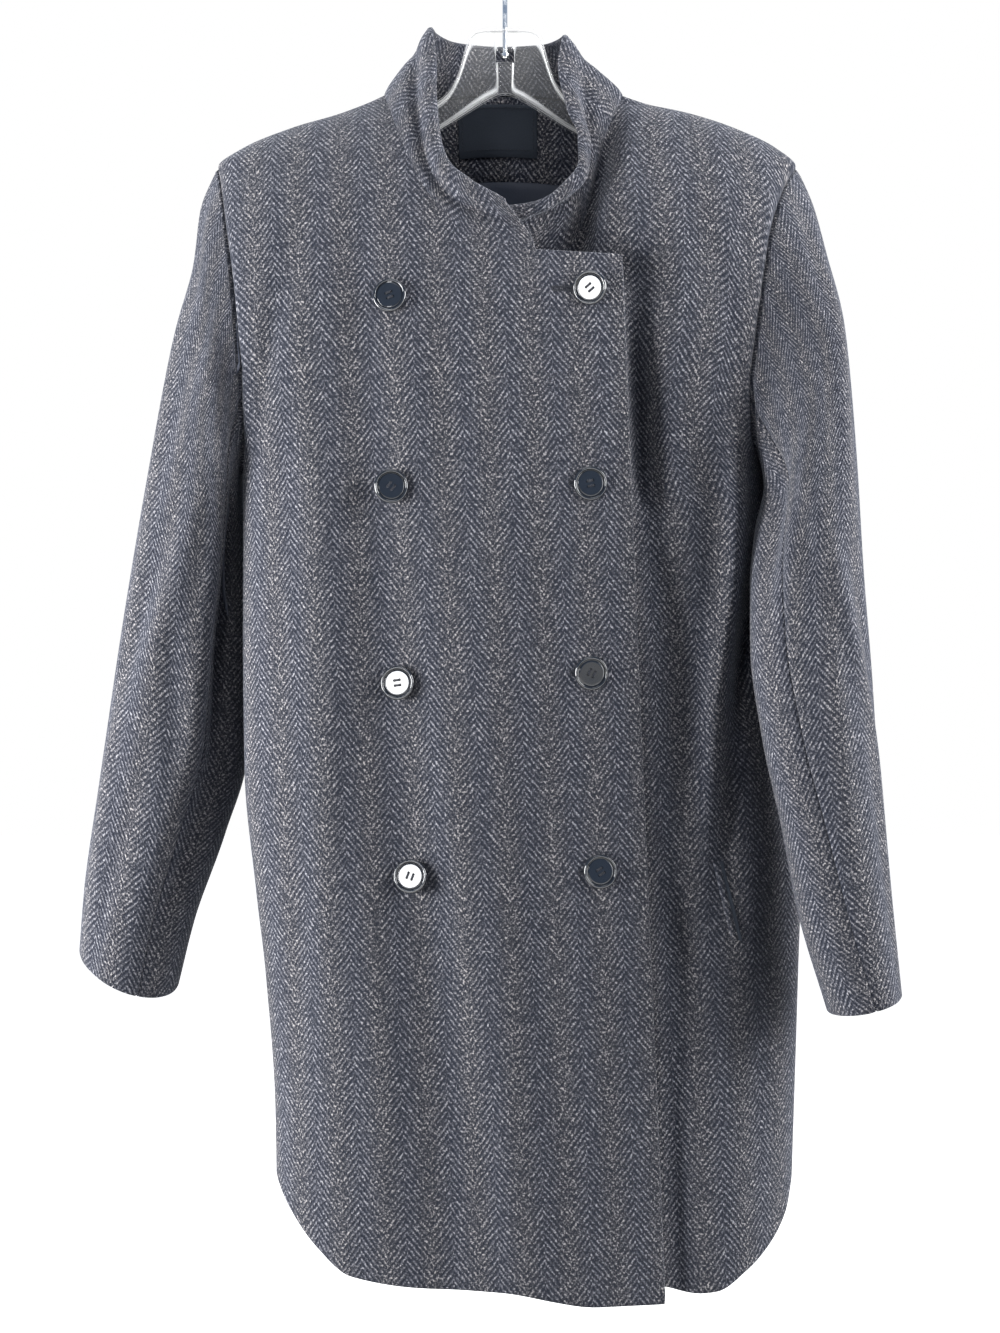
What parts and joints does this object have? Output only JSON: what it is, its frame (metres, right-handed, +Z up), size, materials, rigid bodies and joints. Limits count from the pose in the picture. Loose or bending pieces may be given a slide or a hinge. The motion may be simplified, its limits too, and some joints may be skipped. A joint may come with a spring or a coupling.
{
  "type": "double-breasted coat on a hanger",
  "caption": "Three-quarter double-breasted wool coat with a stand collar and rounded hem corners, hanging open at neck, cuffs and hem on a clear plastic hanger with a wire hook.",
  "frame": {"origin": "under the bend of the hanger's hook, where the wire rests on a rail", "axes": "+Z up, the coat's front faces -Y, +X towards the wearer's left"},
  "size_m": [0.6613, 0.1999, 1.0814],
  "materials": {
    "tweed": "herringbone wool tweed",
    "lining": "satin lining",
    "label": "woven label, bare",
    "button": "polished dark resin",
    "clear_plastic": "clear moulded plastic",
    "hook_steel": "bright drawn wire"
  },
  "bodies": {
    "root": {"front_right": "tweed", "front_left": "tweed", "back": "tweed", "collar": "tweed", "sleeve_right_top": "tweed", "sleeve_right_under": "tweed", "sleeve_left_top": "tweed", "sleeve_left_under": "tweed", "neck_facing": "tweed", "back_lining": "lining", "neck_label": "label", "pocket_edge_left": "tweed", "button_outer_1": "button", "button_outer_2": "button", "button_outer_3": "button", "button_outer_4": "button", "button_edge_1": "button", "button_edge_2": "button", "button_edge_3": "button", "button_edge_4": "button", "hanger_body": "clear_plastic", "hanger_hook": "hook_steel"}
  },
  "joints": []
}
